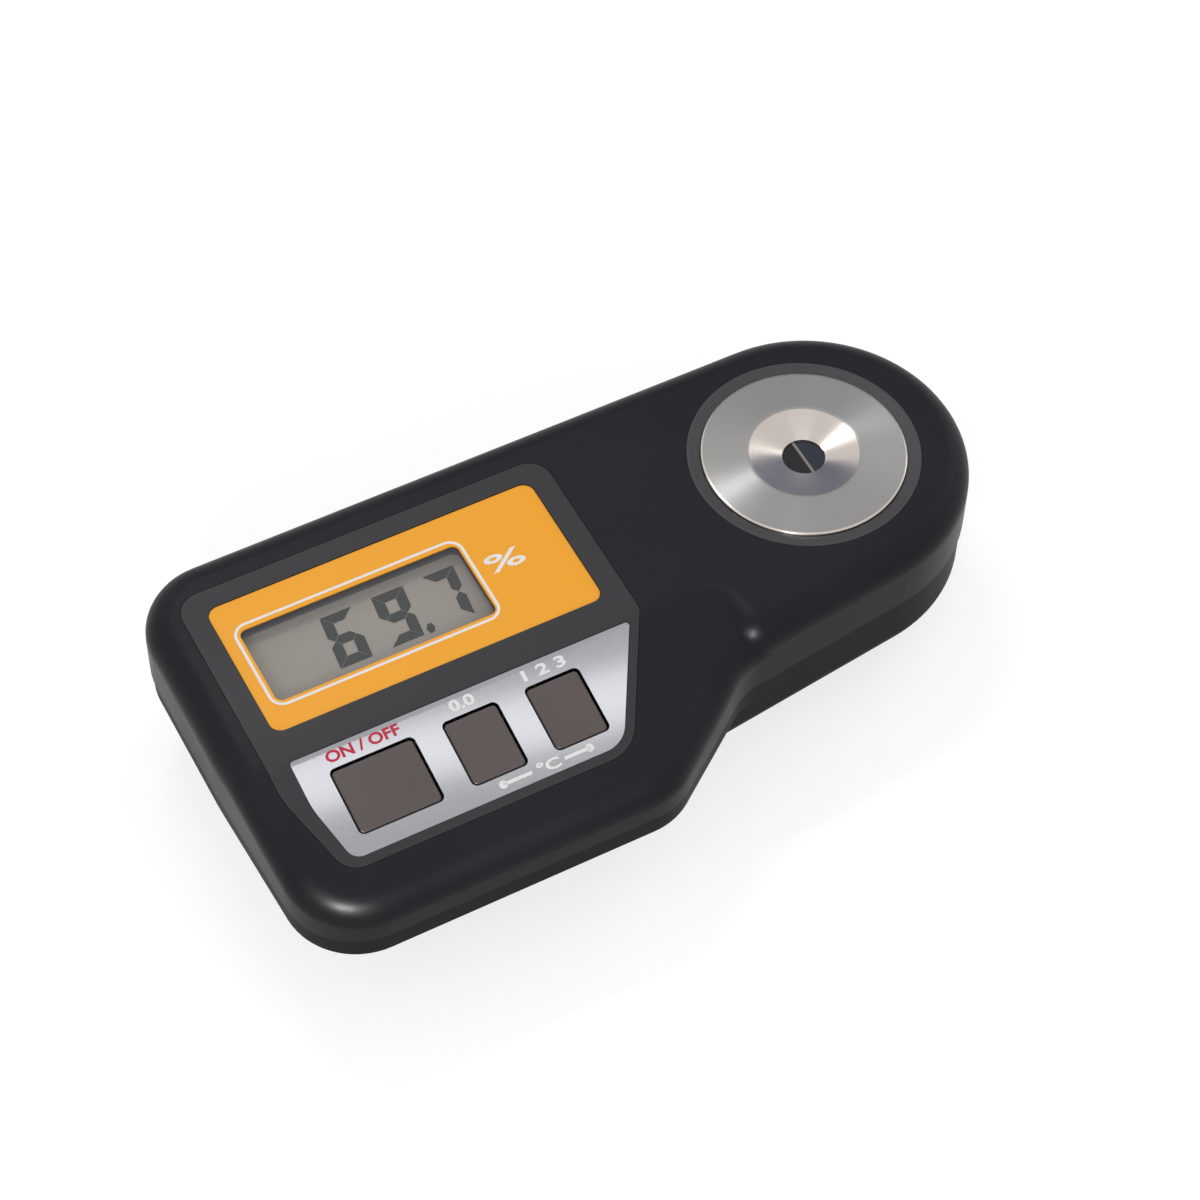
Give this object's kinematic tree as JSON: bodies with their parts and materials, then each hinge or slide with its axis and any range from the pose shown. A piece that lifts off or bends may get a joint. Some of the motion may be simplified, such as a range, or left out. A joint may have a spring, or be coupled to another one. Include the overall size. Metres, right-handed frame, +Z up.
{
  "type": "digital refractometer",
  "caption": "Handheld digital refractometer with a round steel prism dish, a display window, sloping keypad with push keys and a battery bay under its base.",
  "frame": {"origin": "on the bench, under the middle of the instrument's bounding box", "axes": "+X along the body towards the prism head, +Y to the back edge, +Z up"},
  "size_m": [0.1708, 0.0876, 0.04],
  "materials": {
    "case_black": "fine satin-moulded",
    "case_lower": "fine satin-moulded",
    "gasket_rubber": "matt",
    "foot_rubber": "matt",
    "frame_grey": "satin",
    "orange_film": "printed film",
    "clear_window": "clear",
    "lcd": "satin polariser",
    "holder_plastic": "satin",
    "strip_rubber": "striped",
    "board_green": "solder mask",
    "chip_black": "moulded",
    "component": "moulded",
    "screw_steel": "plated",
    "silver_panel": "satin printed",
    "switch_plastic": "moulded",
    "key_rubber": "matt moulded",
    "stage_steel": "turned",
    "ring_grey": "satin",
    "prism_glass": "polished",
    "chassis_black": "moulded",
    "lens_glass": "polished",
    "led_epoxy": "clear epoxy",
    "ribbon": "polyimide",
    "battery_jacket": "lacquered",
    "contact_metal": "nickel plated",
    "foam": "foam"
  },
  "bodies": {
    "case": {"battery_contacts": "contact_metal", "board_components": "component", "board_screws": "screw_steel", "case_gasket": "gasket_rubber", "case_screws": "screw_steel", "condenser_lens": "lens_glass", "contact_block": "holder_plastic", "contact_strips": "strip_rubber", "controller_chip": "chip_black", "display_panel": "orange_film", "display_window": "clear_window", "key_board": "board_green", "key_panel": "silver_panel", "key_ribbon": "ribbon", "key_switches": "switch_plastic", "lcd_glass": "lcd", "lcd_holder": "holder_plastic", "led": "led_epoxy", "led_board": "board_green", "led_holder": "chassis_black", "line_sensor": "chip_black", "lower_case": "case_lower", "main_board": "board_green", "optics_chassis": "chassis_black", "panel_frame": "frame_grey", "prism": "prism_glass", "prism_seal": "gasket_rubber", "rubber_feet": "foot_rubber", "sample_stage": "stage_steel", "sensor_board": "board_green", "sensor_lens": "lens_glass", "sensor_ribbon": "ribbon", "sensor_shroud": "chassis_black", "stage_ring": "ring_grey", "stage_screws": "screw_steel", "thermistor": "component", "upper_case": "case_black"},
    "start_button": {"start_key": "key_rubber", "start_plunger": "switch_plastic"},
    "zero_button": {"zero_key": "key_rubber", "zero_plunger": "switch_plastic"},
    "scale_button": {"scale_key": "key_rubber", "scale_plunger": "switch_plastic"},
    "battery_pack": {"battery": "battery_jacket", "battery_terminals": "contact_metal"},
    "battery_hatch": {"battery_cover": "case_lower", "battery_cover_gasket": "gasket_rubber", "battery_pad": "foam"},
    "coin_screw": {"cover_screw": "screw_steel"}
  },
  "joints": [
    {"name": "start_press", "type": "slide", "parent": "case", "child": "start_button", "axis": [0, 0.1908, -0.9816], "range_m": [0, 0.0006], "stiffness_N_per_m": 300, "springref_m": -0.0005},
    {"name": "zero_press", "type": "slide", "parent": "case", "child": "zero_button", "axis": [0, 0.1908, -0.9816], "range_m": [0, 0.0006], "stiffness_N_per_m": 300, "springref_m": -0.0005},
    {"name": "scale_press", "type": "slide", "parent": "case", "child": "scale_button", "axis": [0, 0.1908, -0.9816], "range_m": [0, 0.0006], "stiffness_N_per_m": 300, "springref_m": -0.0005},
    {"name": "battery_out", "type": "slide", "parent": "case", "child": "battery_pack", "axis": [0, 0, -1], "range_m": [0, 0.03]},
    {"name": "cover_off", "type": "slide", "parent": "case", "child": "battery_hatch", "axis": [0, 0, -1], "range_m": [0, 0.0375]},
    {"name": "coin_screw_turn", "type": "hinge", "parent": "battery_hatch", "child": "coin_screw", "pos_m": [-0.0092, 0.0052, 0.0014], "axis": [0, 0, 1], "continuous": true}
  ],
  "couplings": [
    {"joint": "cover_off", "follows": "battery_out", "ratio": 1.25}
  ]
}
